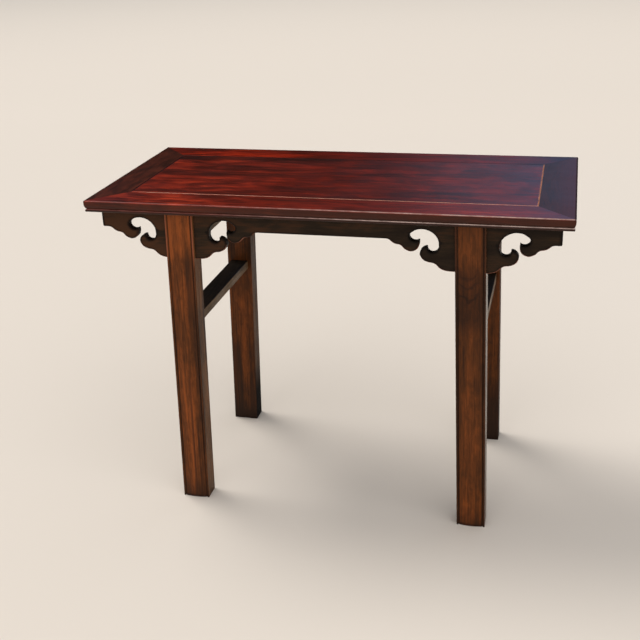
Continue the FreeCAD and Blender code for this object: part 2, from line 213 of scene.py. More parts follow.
# A roughness that drifts with the patches from the low end of its range to the high one
def patchyRoughness(tree, patch, ends):
    return plus(tree, ends[0], times(tree, patch, ends[1] - ends[0]))


# An empty material and its node tree
def newFinish(name):
    material = bpy.data.materials.new(name)
    material.use_nodes = True
    material.node_tree.nodes.clear()
    return material, material.node_tree


# The shader that ends each finish. Its shallow relief is the sum of the streaks and the
# hair lines, each by its share.
def closeFinish(tree, colour, roughness, streak, hair, look, specular):
    shares = look["relief"]
    height = plus(tree, times(tree, streak, shares[0]), times(tree, hair, shares[1]))
    inputs = {"Height": height, "Strength": 1.0, "Distance": look["reliefDepth"]}
    inputs = {
        "Base Color": colour,
        "Roughness": roughness,
        "Normal": addNode(tree, "Bump", inputs).outputs[0],
        "Specular IOR Level": specular,
    }
    shader = addNode(tree, "BsdfPrincipled", inputs)
    tree.links.new(shader.outputs[0], addNode(tree, "OutputMaterial").inputs[0])


# A CAD piece with its finish on and its sharp edges eased by a small round. flatWithin and
# sharpFrom are in degrees.
dressLook = {"weldWithin": 0.00001, "flatWithin": 0.5, "segments": 2, "sharpFrom": 35, "weight": 50}


def dress(node, material, easing):
    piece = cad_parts[node]
    piece.data.materials.clear()
    piece.data.materials.append(material)
    weld = piece.modifiers.new("weld", "WELD")
    weld.merge_threshold = dressLook["weldWithin"]
    flatten = piece.modifiers.new("flatten", "DECIMATE")
    flatten.decimate_type = "DISSOLVE"
    flatten.angle_limit = math.radians(dressLook["flatWithin"])
    ease = piece.modifiers.new("ease", "BEVEL")
    ease.width = easing
    ease.segments = dressLook["segments"]
    ease.limit_method = "ANGLE"
    ease.angle_limit = math.radians(dressLook["sharpFrom"])
    shade = piece.modifiers.new("shade", "WEIGHTED_NORMAL")
    shade.weight = dressLook["weight"]


# The lacquered top: deep red boards between two browner end boards. In this and the other
# dictionaries, two numbers for a place, level, depth, height or facing are where a fade starts
# and where it ends, and those of roughness are its lowest and its highest value.
topLook = {
    "grain": {
        "broad": (0.32, 0.044),
        "streak": (0.18, 0.0058),
        "hair": (0.12, 0.0026),
        "weights": (0.40, 0.34, 0.26),
        "wave": 1.0,
    },
    "wander": 0.020,
    "patch": {"size": 0.11, "shift": 1.3},
    "figure": {
        "along": (-0.52, 0.12), "share": 0.42,
        "length": 0.20, "width": 0.070, "shift": 2.7, "wave": 1.2,
    },
    "lines": {"along": (-0.15, 0.40), "left": 0.66, "right": 0.40, "dark": 0.34},
    "dip": {"width": 0.20, "soft": 0.25},
    "tones": {
        "red": [
            (0.10, paint(36, 14, 9)), (0.40, paint(78, 23, 12)),
            (0.62, paint(112, 30, 15)), (0.95, paint(172, 56, 27)),
        ],
        "scarlet": [
            (0.10, paint(36, 12, 5)), (0.40, paint(78, 20, 6)),
            (0.62, paint(114, 25, 7)), (0.95, paint(172, 46, 13)),
        ],
        "brown": [(0.15, paint(36, 19, 13)), (0.50, paint(56, 28, 20)), (0.90, paint(84, 40, 28))],
    },
    "smudge": {
        "noise": {"size": 0.075, "shift": 9.4, "spread": 0.12},
        "along": (-0.30, 0.05), "colour": paint(32, 22, 24),
    },
    "rearDark": {"along": (0.12, -0.16), "colour": paint(34, 15, 10)},
    "leftCorner": {"along": (-0.42, -0.52), "colour": paint(46, 18, 22)},
    "rightCorner": {"along": (0.40, 0.56), "colour": paint(30, 17, 22)},
    "warmEnd": {"along": (0.500, 0.565), "colour": paint(78, 30, 22)},
    "underside": {"facing": (-0.80, -0.97), "colour": paint(48, 34, 26)},
    "roughness": (0.29, 0.35),
    "rougherWearGlint": 0.25,
    "rougherArris": 0.50,
    "relief": (0.5, 0.5),
    "reliefDepth": 0.00012,
    "easing": 0.0008,
}


# Red patches stand out at the board's left end and calm down along it, and the lines of the
# grain grow fainter to the right. Over them lie the clouds, the dark strip and the ends' shades.
def boardColour(tree, at, board):
    look, shift, along = topLook, board["shift"], at["x"]
    tone, streak, hair = woodTone(tree, at["place"], board["grainAlong"], shift, look)
    figure, lines, dip = look["figure"], look["lines"], look["dip"]
    calm = fade(tree, along, *figure["along"])
    sizes = (figure["length"], figure["width"], shift + figure["shift"], figure["wave"])
    flame = streaks(tree, at["place"], board["grainAlong"], *sizes)
    patches = times(tree, minus(tree, 1.0, calm), figure["share"], minus(tree, flame, 0.5))
    ends = [lines[end] * board["contrast"] for end in ("left", "right")]
    tone = times(tree, minus(tree, tone, 0.5), grade(tree, along, *lines["along"], *ends))
    tone = plus(tree, tone, minus(tree, 0.5 + board["lift"], times(tree, calm, board["sink"])))
    tone = plus(tree, tone, patches)
    inMiddle = stripe(tree, along, 0.0, dip["width"], dip["soft"])
    tone = minus(tree, tone, times(tree, inMiddle, board["dip"]))
    colour = ramp(tree, tone, look["tones"][board["tones"]])
    colour = darkLines(tree, colour, streak, hair, lines["dark"] * board["contrast"])

    smudge, rearDark = look["smudge"], look["rearDark"]
    share = clouds(tree, at["place"], smudge["noise"], shift)
    share = times(tree, share, fade(tree, along, *smudge["along"]), board["smudge"])
    colour = mixColours(tree, share, colour, smudge["colour"])
    start, end, most = board["rearDark"]
    share = fade(tree, at["y"], start, end)
    share = times(tree, share, fade(tree, along, *rearDark["along"]), most)
    colour = mixColours(tree, share, colour, rearDark["colour"])
    for name in ("leftCorner", "rightCorner", "warmEnd"):
        share = times(tree, fade(tree, along, *look[name]["along"]), board[name])
        colour = mixColours(tree, share, colour, look[name]["colour"])
    return colour, tone, streak, hair


# Levels this far below the top, and this far above the frame's underside
def belowTop(*depths):
    return [topLevel - depth for depth in depths]


def aboveUnderside(*heights):
    return [frameUnderside + height for height in heights]


# The moulded edge's tones, from these depths down, its painted shade and the painted shade of the dark
# line at its foot
edgeLook = {
    "depths": (0.0018, 0.0040),
    "tones": [(0.20, paint(46, 15, 4)), (0.55, paint(64, 22, 7)), (0.90, paint(88, 32, 10))],
    "shade": {
        "along": (-0.40, 0.30), "depth": 0.012, "height": 0.008, "share": 0.26,
        "colour": paint(28, 17, 9),
    },
    "foot": {"heights": (0.0060, 0.0040), "share": 0.6, "colour": paint(40, 18, 10)},
}


# Below the arris the edge is brown, and painted shade darkens it to the right and low down, most at its
# foot
def mouldedEdge(tree, at, colour, tone, look):
    edge = fade(tree, at["z"], *belowTop(*look["depths"]))
    colour = mixColours(tree, edge, colour, ramp(tree, tone, look["tones"]))
    shade, foot = look["shade"], look["foot"]
    right = fade(tree, at["x"], *shade["along"])
    low = fade(tree, at["z"], *belowTop(shade["depth"]), *aboveUnderside(shade["height"]))
    share = times(tree, plus(tree, right, low), times(tree, edge, shade["share"]))
    colour = mixColours(tree, share, colour, shade["colour"])
    share = times(tree, fade(tree, at["z"], *aboveUnderside(*foot["heights"])), foot["share"])
    return mixColours(tree, share, colour, foot["colour"])


# Wear and painted highlight on the front. rub is the noise that breaks a line up: its least share,
# and how much more there is where the noise is strongest. In a line, least is its strength at the
# left, more is what the right end adds, and even is the part that the noise never breaks.
wearAndGlintLook = {
    "rub": {"size": 0.020, "shift": 5.2, "spread": 0.24, "least": 0.30, "more": 0.60},
    "towardsRight": (-0.35, 0.20),
    "arris": {
        "behind": (0.0036, 0.0016), "depth": 0.0008, "width": 0.0010, "soft": 0.0010,
        "least": 0.45, "more": 0.65, "left": paint(166, 98, 90), "right": paint(176, 146, 138),
    },
    "bead": {
        "facing": (0.05, 0.45), "height": 0.0067, "width": 0.0008, "soft": 0.0011,
        "least": 0.60, "more": 0.40, "even": 0.25,
        "left": paint(164, 102, 94), "right": paint(214, 188, 178),
    },
}


# A thin light line on the front arris and on the bead's upper face, stronger and paler to the
# right: partly wear and partly a painted highlight
def wornAndGlintLines(tree, at, colour, rub, look):
    right = fade(tree, at["x"], *look["towardsRight"])
    arris, bead = look["arris"], look["bead"]
    wearGlint = fade(tree, at["y"], *[frontEdge + behind for behind in arris["behind"]])
    line = stripe(tree, at["z"], *belowTop(arris["depth"]), arris["width"], arris["soft"])
    strength = plus(tree, arris["least"], times(tree, right, arris["more"]))
    wearGlint = times(tree, wearGlint, line, rub, strength)
    colour = mixColours(tree, wearGlint, colour, mixColours(tree, right, arris["left"], arris["right"]))
    line = stripe(tree, at["z"], *aboveUnderside(bead["height"]), bead["width"], bead["soft"])
    strength = plus(tree, bead["least"], times(tree, right, bead["more"]))
    upwards = fade(tree, at["faceZ"], *bead["facing"])
    line = times(tree, line, upwards, strength, plus(tree, bead["even"], rub))
    colour = mixColours(tree, line, colour, mixColours(tree, right, bead["left"], bead["right"]))
    return colour, wearGlint


# How far in from the edge and how far down the dark outline goes
outlineLook = {
    "inFrom": (0.0050, 0.0022),
    "depths": (0.0040, 0.0018),
    "share": 0.72,
    "colour": paint(20, 11, 9),
}


# Dark along the rear arris and those of the two ends
def darkArris(tree, at, colour, look):
    rear = fade(tree, at["y"], *[-frontEdge - back for back in look["inFrom"]])
    ends = fade(tree, magnitude(tree, at["x"]), *[rightEdge - back for back in look["inFrom"]])
    share = times(tree, calc(tree, "MAXIMUM", rear, ends), look["share"])
    share = times(tree, share, fade(tree, at["z"], *belowTop(*look["depths"])))
    return mixColours(tree, share, colour, look["colour"]), share


# The line on each side of the panel's joint: dark at the left and the rear, rubbed light along
# the front, where more makes it less broken, and gold at the right
jointLook = {
    "overlap": 0.002,
    "soft": 0.0005,
    "depths": (0.0040, 0.0014),
    "rear": {"width": 0.0026, "soft": 0.0014},
    "left": {"width": 0.0022, "soft": 0.0014},
    "dark": paint(20, 11, 9),
    "darkShare": 0.85,
    "front": {"width": 0.0020, "soft": 0.0012, "along": (-0.475, -0.445), "more": 0.15},
    "rubbed": paint(210, 150, 128),
    "right": {"width": 0.0020, "soft": 0.0009},
    "gold": paint(208, 138, 98),
}


# Each line is a stripe on the joint, cut off at the panel's corners and below the arris
def panelJoint(tree, at, colour, rub, look):
    inX = stripe(tree, at["x"], 0.0, 2 * rightJoint + look["overlap"], look["soft"])
    inY = stripe(tree, at["y"], 0.0, -2 * frontJoint + look["overlap"], look["soft"])
    sides = {
        "front": ("y", frontJoint, inX),
        "rear": ("y", -frontJoint, inX),
        "right": ("x", rightJoint, inY),
        "left": ("x", -rightJoint, inY),
    }
    lines = {}
    for name, (axis, middle, inside) in sides.items():
        line = stripe(tree, at[axis], middle, look[name]["width"], look[name]["soft"])
        lines[name] = times(tree, line, inside)
    onTop = fade(tree, at["z"], *belowTop(*look["depths"]))
    dark = calc(tree, "MAXIMUM", lines["rear"], lines["left"])
    colour = mixColours(tree, times(tree, dark, onTop, look["darkShare"]), colour, look["dark"])
    front = times(tree, lines["front"], onTop, plus(tree, rub, look["front"]["more"]))
    front = times(tree, front, fade(tree, at["x"], *look["front"]["along"]))
    colour = mixColours(tree, front, colour, look["rubbed"])
    return mixColours(tree, times(tree, lines["right"], onTop, rub), colour, look["gold"])


# The finish of one board of the top
def topLacquer(node, board):
    material, tree = newFinish(node + "_finish")
    at = surfaceOf(tree)
    look, shift, underside = topLook, board["shift"], topLook["underside"]
    colour, tone, streak, hair = boardColour(tree, at, board)
    colour = mouldedEdge(tree, at, colour, tone, edgeLook)
    bare = fade(tree, at["faceZ"], *underside["facing"])
    colour = mixColours(tree, bare, colour, underside["colour"])

    # How far the lacquer is rubbed through
    noise = wearAndGlintLook["rub"]
    rub = times(tree, clouds(tree, at["place"], noise, shift), noise["more"])
    rub = plus(tree, noise["least"], rub)
    # Worn lines, partly a painted highlight, on the front arris and the bead
    colour, wearGlint = wornAndGlintLines(tree, at, colour, rub, wearAndGlintLook)
    colour, outline = darkArris(tree, at, colour, outlineLook)
    colour = panelJoint(tree, at, colour, rub, jointLook)

    patch = clouds(tree, at["place"], look["patch"], shift)
    roughness = patchyRoughness(tree, patch, look["roughness"])
    roughness = plus(tree, roughness, times(tree, wearGlint, look["rougherWearGlint"]))
    roughness = plus(tree, roughness, times(tree, outline, look["rougherArris"]))
    closeFinish(tree, colour, roughness, streak, hair, look, board["specular"])
    dress(node, material, look["easing"])


# The boards of the top, and first what a board has unless it says otherwise. shift picks its
# part of the noise, lift moves its whole tone, sink takes some off again past the strong
# figure, dip darkens its middle, contrast sets how strong its grain is and smudge how dark
# its clouds are at the right. rearDark is where its dark rear strip starts and ends and how
# dark it is, and the corners and the warm end are shares as well.
plainBoard = {
    "sink": 0.0, "dip": 0.0, "contrast": 1.0, "smudge": 0.0, "rearDark": (0.0, 0.1, 0.0),
    "leftCorner": 0.0, "rightCorner": 0.0, "warmEnd": 0.0,
}
topBoards = {
    "top_panel": {
        "grainAlong": "X", "shift": 0.0, "tones": "red", "specular": 0.23,
        "lift": 0.01, "sink": 0.01, "dip": 0.02, "smudge": 0.45, "rearDark": (0.132, 0.156, 0.78),
    },
    "front_rail": {
        "grainAlong": "X", "shift": 11.3, "tones": "red", "specular": 0.22,
        "lift": 0.09, "sink": 0.01, "dip": 0.10,
        "leftCorner": 0.28, "rightCorner": 0.42, "warmEnd": 0.25,
    },
    "rear_rail": {
        "grainAlong": "X", "shift": 23.9, "tones": "scarlet", "specular": 0.14,
        "lift": 0.09, "sink": 0.14, "dip": 0.02, "rearDark": (0.222, 0.250, 0.48), "rightCorner": 0.75,
    },
    "left_end_rail": {
        "grainAlong": "Y", "shift": 37.1, "tones": "brown", "specular": 0.09, "lift": 0.10,
    },
    "right_end_rail": {
        "grainAlong": "Y", "shift": 51.7, "tones": "brown", "specular": 0.08,
        "lift": 0.03, "contrast": 0.5, "warmEnd": 0.55,
    },
}
for node, board in topBoards.items():
    topLacquer(node, {**plainBoard, **board})
print("lacquered the top")


# The legs: oiled brown wood with upright streaks and dark lines in the corner flutes. off is
# how far from the leg's middle line a thing lies, and behind how far behind its front face.
# That line is legHead from the table's middle at the frame, and legSplay further out at the floor.
legHead = 0.344
legSplay = 0.020
legLook = {
    "grain": {
        "broad": (0.40, 0.020),
        "streak": (0.20, 0.0048),
        "hair": (0.06, 0.0014),
        "weights": (0.44, 0.26, 0.16),
        "wave": 0.40,
    },
    "wander": 0.005,
    "hairLines": 0.18,
    "patch": {"size": 0.13, "shift": 2.2, "change": 0.12},
    "mottle": {"height": 0.034, "width": 0.012, "shift": 4.4, "wave": 0.8, "change": 0.24},
    "polish": {"soft": 0.024, "change": 0.22},
    "bandSoft": 0.06,
    "tones": [
        (0.05, paint(54, 30, 15)), (0.40, paint(80, 43, 17)),
        (0.65, paint(99, 52, 21)), (1.00, paint(134, 69, 28)),
    ],
    "darkPatch": {"soft": 0.05, "least": 0.6, "more": 0.4, "colour": paint(30, 21, 16)},
    "corner": {"behind": (0.0065, 0.0045), "off": (0.0280, 0.0300), "turn": 0.001},
    "flute": {"off": 0.0288, "width": 0.0020, "soft": 0.0014, "share": 0.7, "colour": paint(30, 17, 11)},
    "bead": {
        "off": 0.0330, "width": 0.0016, "soft": 0.0016, "levels": (0.640, 0.700),
        "colour": paint(152, 90, 68),
    },
    # Painted sheen: the sides take these paler tones
    "side": {
        "facing": (0.80, 0.95), "share": 0.65, "lift": 0.08,
        "tones": [(0.05, paint(48, 32, 19)), (0.50, paint(84, 58, 34)), (1.00, paint(124, 88, 54))],
    },
    # Painted shadow on the leg around the upper stretcher's end
    "jointShadow": {
        "above": 0.032, "below": 0.012, "width": 0.050, "soft": 0.012, "behind": (0.030, 0.040),
        "share": 0.88, "colour": paint(14, 10, 7),
    },
    "foot": {"levels": (0.075, 0.0), "colour": paint(36, 22, 14)},
    "floorLine": {"levels": (0.011, 0.004), "share": 0.65, "colour": paint(30, 17, 11)},
    # Painted shade low on the leg's sides, darkest on the inner side
    "sideFootShade": {
        "levels": (0.20, 0.07), "facing": (0.2, -0.2), "outerShare": 0.30, "colour": paint(14, 10, 7),
    },
    "roughness": (0.34, 0.46),
    "rougherFoot": 0.55,
    "relief": (0.4, 0.6),
    "reliefDepth": 0.00020,
    "specular": 0.12,
    "easing": 0.0010,
}

# Round a knot the wood is darker, and a few dark lines dip to its middle in a V. Two noises
# bend each line up by as much as their reach.
knotLook = {
    "soft": 0.06,
    "colour": paint(34, 19, 12),
    "wobble": {"size": 0.045, "shift": 8.0, "detail": 1.0, "reach": 0.018},
    "ripple": {"size": 0.020, "shift": 9.0, "detail": 2.0, "reach": 0.004},
    "line": {"width": 0.0020, "soft": 0.0060},
    "spread": {"width": 0.034, "soft": 0.014},
}


# The level of a line rises with the distance from the knot's middle, by the slope
def knotIn(tree, at, colour, across, knot, shift):
    look, line, spread = knotLook, knotLook["line"], knotLook["spread"]
    around = stripe(tree, at["z"], knot["middle"], knot["height"], look["soft"])
    colour = mixColours(tree, times(tree, around, knot["share"]), colour, look["colour"])
    bends = []
    for noise in (look["wobble"], look["ripple"]):
        bends.append(times(tree, clouds(tree, at["place"], noise, shift), noise["reach"]))
    off = magnitude(tree, minus(tree, across, knot["aside"]))
    raised = plus(tree, plus(tree, *bends), times(tree, off, knot["slope"]))
    level = minus(tree, at["z"], raised)
    near = stripe(tree, across, knot["aside"], spread["width"], spread["soft"])
    for place, share in knot["lines"]:
        dark = times(tree, stripe(tree, level, place, line["width"], line["soft"]), near, share)
        colour = mixColours(tree, dark, colour, look["colour"])
    return colour


# The leg's front face: its grain, moved by the patches, the mottle, the polished strip and
# the bands, then the dark patches and the knot
def legFace(tree, at, across, leg):
    look, shift = legLook, leg["shift"]
    patch, mottle, polish, darkPatch = (look[name] for name in ("patch", "mottle", "polish", "darkPatch"))
    lean = math.atan(legSplay / frameUnderside) * leg["side"]
    inputs = {"Vector": at["place"], "Angle": lean}
    upright = addNode(tree, "VectorRotate", inputs, rotation_type="Y_AXIS").outputs[0]
    tone, streak, hair = woodTone(tree, upright, "Z", shift, look)
    mean = sum(look["grain"]["weights"]) / 2
    tone = plus(tree, times(tree, minus(tree, tone, mean), leg["contrast"]), mean)
    patchy = clouds(tree, at["place"], patch, shift)
    sizes = (mottle["height"], mottle["width"], shift + mottle["shift"], mottle["wave"])
    mottled = streaks(tree, upright, "Z", *sizes)
    tone = plus(tree, plus(tree, tone, leg["lift"]), times(tree, patchy, patch["change"]))
    tone = plus(tree, tone, times(tree, mottled, mottle["change"]))
    polished = stripe(tree, across, *leg["polished"], polish["soft"])
    tone = plus(tree, tone, times(tree, minus(tree, polished, 0.5), polish["change"]))
    for level, height, change in leg["bands"]:
        band = stripe(tree, at["z"], level, height, look["bandSoft"])
        tone = plus(tree, tone, times(tree, band, change))
    colour = darkLines(tree, ramp(tree, tone, look["tones"]), streak, hair, look["hairLines"])
    broken = plus(tree, darkPatch["least"], times(tree, mottled, darkPatch["more"]))
    for level, height, aside, width, soft, share in leg["darkPatches"]:
        spot = stripe(tree, at["z"], level, height, darkPatch["soft"])
        spot = times(tree, spot, stripe(tree, across, aside, width, soft), broken, share)
        colour = mixColours(tree, spot, colour, darkPatch["colour"])
    if "knot" in leg:
        colour = knotIn(tree, at, colour, across, leg["knot"], shift)
    return colour, tone, streak, hair, patchy


# The corners of the face: a shade that differs inside and outside, a dark flute and a bead
def legCorners(tree, at, colour, across, leg):
    corner, flute, bead = (legLook[name] for name in ("corner", "flute", "bead"))
    off = magnitude(tree, across)
    onFace = fade(tree, magnitude(tree, at["y"]), *[-legFront - behind for behind in corner["behind"]])
    shade = grade(tree, across, -corner["turn"], corner["turn"], *leg["cornerShade"])
    share = times(tree, fade(tree, off, *corner["off"]), onFace, shade)
    colour = mixColours(tree, share, colour, flute["colour"])
    share = stripe(tree, off, flute["off"], flute["width"], flute["soft"])
    colour = mixColours(tree, times(tree, share, onFace, flute["share"]), colour, flute["colour"])
    share = stripe(tree, off, bead["off"], bead["width"], bead["soft"])
    high = times(tree, fade(tree, at["z"], *bead["levels"]), leg["cornerRub"])
    return mixColours(tree, times(tree, share, onFace, high), colour, bead["colour"])


# Painted shadow darkens the leg above and below the upper stretcher where it meets the leg
def jointShadow(tree, at, colour, across, leg):
    paintedShade = legLook["jointShadow"]
    low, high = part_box("upper_stretcher_" + ("right" if leg["side"] > 0 else "left"))
    above = fade(tree, at["z"], high.z + paintedShade["above"], high.z)
    below = fade(tree, at["z"], low.z - paintedShade["below"], low.z)
    middle = stripe(tree, across, 0.0, paintedShade["width"], paintedShade["soft"])
    inward = fade(tree, magnitude(tree, at["y"]), *[-legFront - behind for behind in paintedShade["behind"]])
    share = times(tree, calc(tree, "MINIMUM", above, below), middle, inward, paintedShade["share"])
    return mixColours(tree, share, colour, paintedShade["colour"])


# The finish of one leg
def legWood(node, leg):
    material, tree = newFinish(node + "_finish")
    at = surfaceOf(tree)
    look = legLook
    foot, floorLine, side, sideFootShade = (look[name] for name in ("foot", "floorLine", "side", "sideFootShade"))

    # Across the leg: 0 on its middle line, which leans with the splay, and more is outwards
    down = minus(tree, frameUnderside, at["z"])
    middle = plus(tree, legHead, times(tree, down, legSplay / frameUnderside))
    across = minus(tree, times(tree, at["x"], leg["side"]), middle)
    colour, tone, streak, hair, patch = legFace(tree, at, across, leg)
    colour = legCorners(tree, at, colour, across, leg)
    colour = jointShadow(tree, at, colour, across, leg)

    # Darker low on the foot, and a dark line where it meets the floor
    dirt = times(tree, fade(tree, at["z"], *foot["levels"]), leg["foot"])
    colour = mixColours(tree, dirt, colour, foot["colour"])
    line = times(tree, fade(tree, at["z"], *floorLine["levels"]), floorLine["share"])
    colour = mixColours(tree, line, colour, floorLine["colour"])

    # Painted sheen makes the leg's left and right sides paler, and painted shade darkens them low
    # down, most on the inner side
    sideways = fade(tree, magnitude(tree, at["faceX"]), *side["facing"])
    sideSheenColour = ramp(tree, plus(tree, tone, side["lift"]), side["tones"])
    colour = mixColours(tree, times(tree, sideways, side["share"]), colour, sideSheenColour)
    inside = fade(tree, times(tree, at["faceX"], leg["side"]), *sideFootShade["facing"])
    inside = plus(tree, sideFootShade["outerShare"], times(tree, inside, 1 - sideFootShade["outerShare"]))
    low = fade(tree, at["z"], *sideFootShade["levels"])
    dark = times(tree, low, times(tree, sideways, leg["sideFootShade"]), inside)
    colour = mixColours(tree, dark, colour, sideFootShade["colour"])

    roughness = patchyRoughness(tree, patch, look["roughness"])
    roughness = plus(tree, roughness, times(tree, sideways, leg["sideDull"]))
    roughness = plus(tree, roughness, times(tree, dark, look["rougherFoot"]))
    closeFinish(tree, colour, roughness, streak, hair, look, look["specular"])
    dress(node, material, look["easing"])


# Each leg: side is 1 at the right and -1 at the left, shift picks its part of the noise, lift
# moves its whole tone, contrast sets how strong its grain is, foot is the share of darkening low
# down on its face, sideFootShade that of painted shade low down on its sides, cornerShade darkens its
# inner and outer corners, cornerRub lightens their beads high up, and sideDull makes its sides
# rougher. The polished strip is a place across the leg and a width, a band is a level, a height
# and a change of tone, a dark patch is a level, a height, a place across, a width, a softness and
# a share of dark, and a knot's line is a level and a share of dark.
legs = {
    "leg_front_right": {
        "side": 1, "shift": 4.0, "lift": -0.18, "contrast": 0.70, "foot": 0.50, "sideFootShade": 0.0,
        "polished": (-0.005, 0.010), "cornerShade": (0.62, 0.42), "cornerRub": 0.06, "sideDull": -0.16,
        "bands": [(0.74, 0.06, 0.08), (0.50, 0.18, -0.20), (0.34, 0.06, -0.12), (0.04, 0.08, 0.12)],
        "darkPatches": [],
        "knot": {
            "middle": 0.61, "height": 0.09, "share": 0.50, "aside": -0.006, "slope": 0.40,
            "lines": [(0.656, 0.40), (0.630, 0.45), (0.598, 0.68)],
        },
    },
    "leg_front_left": {
        "side": -1, "shift": 13.0, "lift": -0.08, "contrast": 1.0, "foot": 0.65, "sideFootShade": 0.0,
        "polished": (0.012, 0.016), "cornerShade": (0.25, 0.25), "cornerRub": 0.50, "sideDull": 0.14,
        "bands": [
            (0.75, 0.08, 0.44), (0.60, 0.10, 0.08), (0.47, 0.10, -0.14),
            (0.34, 0.06, 0.10), (0.265, 0.06, 0.06),
        ],
        "darkPatches": [(0.60, 0.14, -0.020, 0.010, 0.012, 0.50), (0.19, 0.30, -0.003, 0.0015, 0.0035, 0.62)],
    },
    "leg_rear_right": {
        "side": 1, "shift": 27.0, "lift": -0.29, "contrast": 1.0, "foot": 0.95, "sideFootShade": 0.5,
        "polished": (-0.005, 0.010), "cornerShade": (0.22, 0.22), "cornerRub": 0.15, "sideDull": 0.14,
        "bands": [(0.07, 0.16, -0.40)],
        "darkPatches": [(0.02, 0.18, 0.0, 0.080, 0.012, 0.60)],
    },
    "leg_rear_left": {
        "side": -1, "shift": 41.0, "lift": -0.29, "contrast": 1.0, "foot": 0.95, "sideFootShade": 0.95,
        "polished": (0.005, 0.010), "cornerShade": (0.22, 0.22), "cornerRub": 0.15, "sideDull": 0.14,
        "bands": [(0.70, 0.05, -0.20), (0.38, 0.14, 0.10), (0.05, 0.05, -0.15)],
        "darkPatches": [(0.13, 0.20, 0.020, 0.018, 0.012, 0.70)],
    },
}
for node, leg in legs.items():
    legWood(node, leg)
print("oiled the legs")


# Aprons and clouds: very dark lacquer, thinner and browner where hands and cloths rub it, with a
# painted highlight on the bevels that face down
apronLook = {
    "grain": {
        "broad": (0.16, 0.045),
        "streak": (0.10, 0.0060),
        "hair": (0.04, 0.0012),
        "weights": (0.62, 0.24, 0.14),
        "wave": 0.5,
    },
    "wander": 0.010,
    "patch": {"size": 0.06, "shift": 2.2},
    "tones": [(0.10, paint(31, 22, 15)), (0.50, paint(42, 31, 21)), (0.95, paint(66, 41, 25))],
    # Painted light lifts the tone towards the left, and painted shade lowers it towards the right
    "litLeft": {"along": (-0.20, -0.48), "change": 0.34},
    "shadedRight": {"along": (0.10, 0.48), "change": 0.24},
    "rim": {
        "width": 0.009, "samples": 6, "turned": (0.9985, 0.968), "share": 0.88,
        "colour": paint(10, 6, 4),
    },
    "wall": {"facing": (0.95, 0.80), "share": 0.80},
    "joint": {
        "off": 0.341, "reach": 0.056, "softEnds": 0.006, "level": 0.740, "height": 0.018, "soft": 0.008,
    },
    "bevel": {"facing": 0.707, "width": 0.16, "soft": 0.08, "down": (0.10, -0.40)},
    "rubbed": {
        "noise": {"size": 0.030, "shift": 5.2, "spread": 0.14}, "levels": (0.748, 0.738),
        "alwaysLevels": (0.700, 0.680), "share": 0.8, "colour": paint(138, 84, 62),
    },
    "roughness": (0.40, 0.54),
    "relief": (0.4, 0.6),
    "reliefDepth": 0.00020,
    "specular": 0.08,
    "easing": 0.0005,
}


# Painted shade darkens every edge, which is where a normal rounded over the rim's
# width turns away from the true one, and the walls of the holes. The joint of apron and
# cloud beside the leg is left out of it.
def shadedRim(tree, at, out, look):
    rim, wall, joint = look["rim"], look["wall"], look["joint"]
    eased = addNode(tree, "Bevel", {"Radius": rim["width"]}, samples=rim["samples"]).outputs[0]
    inputs = {0: eased, 1: at["facing"]}
    turned = addNode(tree, "VectorMath", inputs, operation="DOT_PRODUCT").outputs["Value"]
    share = times(tree, fade(tree, turned, *rim["turned"]), rim["share"])
    beside = minus(tree, magnitude(tree, at["x"]), joint["off"])
    beside = stripe(tree, beside, 0.0, 2 * joint["reach"], joint["softEnds"])
    level = stripe(tree, at["z"], joint["level"], joint["height"], joint["soft"])
    share = times(tree, share, minus(tree, 1.0, times(tree, beside, level)))
    onWall = times(tree, fade(tree, out, *wall["facing"]), wall["share"])
    return calc(tree, "MAXIMUM", share, onWall)


# The bevels that face down are light, rubbed and partly a painted highlight: in patches near the
# joint, and always lower down
def rubbedAndLitBevel(tree, at, out, shift, look):
    bevel, rubbed = look["bevel"], look["rubbed"]
    share = stripe(tree, out, bevel["facing"], bevel["width"], bevel["soft"])
    share = times(tree, share, fade(tree, at["faceZ"], *bevel["down"]))
    rub = clouds(tree, at["place"], rubbed["noise"], shift)
    rub = times(tree, rub, fade(tree, at["z"], *rubbed["levels"]))
    rub = calc(tree, "MAXIMUM", rub, fade(tree, at["z"], *rubbed["alwaysLevels"]))
    return times(tree, share, rub, rubbed["share"])


# Dark lacquer on an apron or a spandrel whose grain runs along the named axis
def apronLacquer(node, along, shift):
    material, tree = newFinish(node + "_finish")
    at = surfaceOf(tree)
    look = apronLook
    tone, streak, hair = woodTone(tree, at["place"], along, shift, look)
    # Painted light towards the left and painted shade towards the right
    litSide, dark = look["litLeft"], look["shadedRight"]
    tone = plus(tree, tone, times(tree, fade(tree, at["x"], *litSide["along"]), litSide["change"]))
    tone = minus(tree, tone, times(tree, fade(tree, at["x"], *dark["along"]), dark["change"]))
    colour = ramp(tree, tone, look["tones"])
    out = magnitude(tree, at["faceY" if along == "X" else "faceX"])
    colour = mixColours(tree, shadedRim(tree, at, out, look), colour, look["rim"]["colour"])
    rubbed = rubbedAndLitBevel(tree, at, out, shift, look)
    colour = mixColours(tree, rubbed, colour, look["rubbed"]["colour"])
    patch = clouds(tree, at["place"], look["patch"], shift)
    roughness = patchyRoughness(tree, patch, look["roughness"])
    closeFinish(tree, colour, roughness, streak, hair, look, look["specular"])
    dress(node, material, look["easing"])


# Each piece's grain and its part of the noise
aprons = {
    "front_apron": ("X", 2.0),
    "rear_apron": ("X", 9.0),
    "right_end_apron": ("Y", 17.0),
    "left_end_apron": ("Y", 25.0),
    "spandrel_front_right": ("X", 33.0),
    "spandrel_front_left": ("X", 41.0),
    "spandrel_rear_right": ("X", 49.0),
    "spandrel_rear_left": ("X", 57.0),
}
for node, (along, shift) in aprons.items():
    apronLacquer(node, along, shift)
print("lacquered the aprons and clouds")


